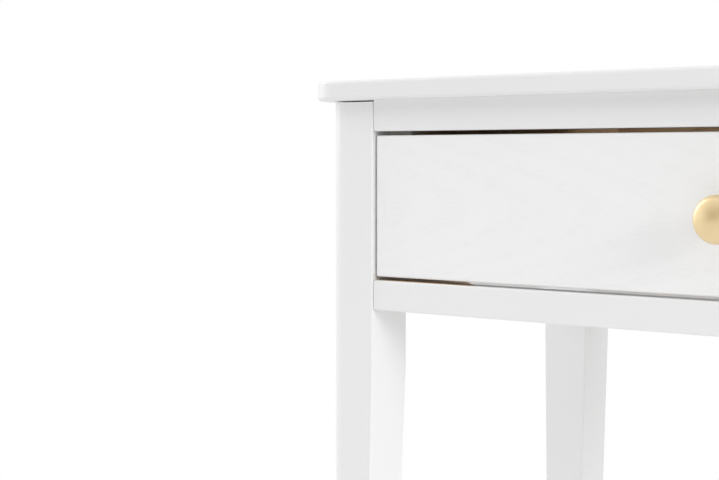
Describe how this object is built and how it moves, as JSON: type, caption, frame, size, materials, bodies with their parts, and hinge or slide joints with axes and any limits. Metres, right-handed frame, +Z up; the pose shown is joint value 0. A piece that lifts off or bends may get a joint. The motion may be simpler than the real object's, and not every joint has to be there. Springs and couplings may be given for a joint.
{
  "type": "dressing table",
  "caption": "Compact dressing table with tapered legs, a thin round-cornered top and one wide drawer with a round knob.",
  "frame": {"origin": "on the floor, under the middle of the table's bounding box, knob included", "axes": "+Z up, the drawer front and knob face -Y, +X to the right seen from behind the drawer's face looking along +Y"},
  "size_m": [0.7, 0.4142, 0.75],
  "materials": {
    "painted_wood": "white satin paint over open-grained wood",
    "raw_wood": "unfinished, sanded",
    "faced_board": "thin white-faced hardboard",
    "dowel_wood": "raw beech",
    "satin_brass": "satin champagne brass",
    "screw_steel": "bright zinc",
    "glide_plastic": "moulded"
  },
  "bodies": {
    "table": {"table_top": "painted_wood", "leg_front_left": "painted_wood", "leg_front_right": "painted_wood", "leg_rear_left": "painted_wood", "leg_rear_right": "painted_wood", "glide_front_left": "glide_plastic", "glide_front_right": "glide_plastic", "glide_rear_left": "glide_plastic", "glide_rear_right": "glide_plastic", "front_upper_rail": "painted_wood", "front_lower_rail": "painted_wood", "side_apron_left": "painted_wood", "side_apron_right": "painted_wood", "back_apron": "painted_wood", "kicker_left": "raw_wood", "kicker_right": "raw_wood", "runner_left": "raw_wood", "runner_right": "raw_wood", "guide_left": "raw_wood", "guide_right": "raw_wood", "drawer_stop_left": "raw_wood", "drawer_stop_right": "raw_wood", "corner_block_left": "raw_wood", "corner_block_right": "raw_wood", "rail_dowels": "dowel_wood", "apron_dowels": "dowel_wood", "top_screws": "screw_steel", "runner_screws": "screw_steel"},
    "drawer": {"drawer_front": "painted_wood", "drawer_side_left": "raw_wood", "drawer_side_right": "raw_wood", "drawer_back": "raw_wood", "drawer_bottom": "faced_board", "drawer_dowels": "dowel_wood", "drawer_back_screws": "screw_steel", "drawer_bottom_screws": "screw_steel", "knob": "satin_brass", "knob_washer": "screw_steel", "knob_screw": "screw_steel"}
  },
  "joints": [
    {"name": "drawer_slide", "type": "slide", "parent": "table", "child": "drawer", "axis": [0, -1, 0], "range_m": [0, 0.2]}
  ]
}
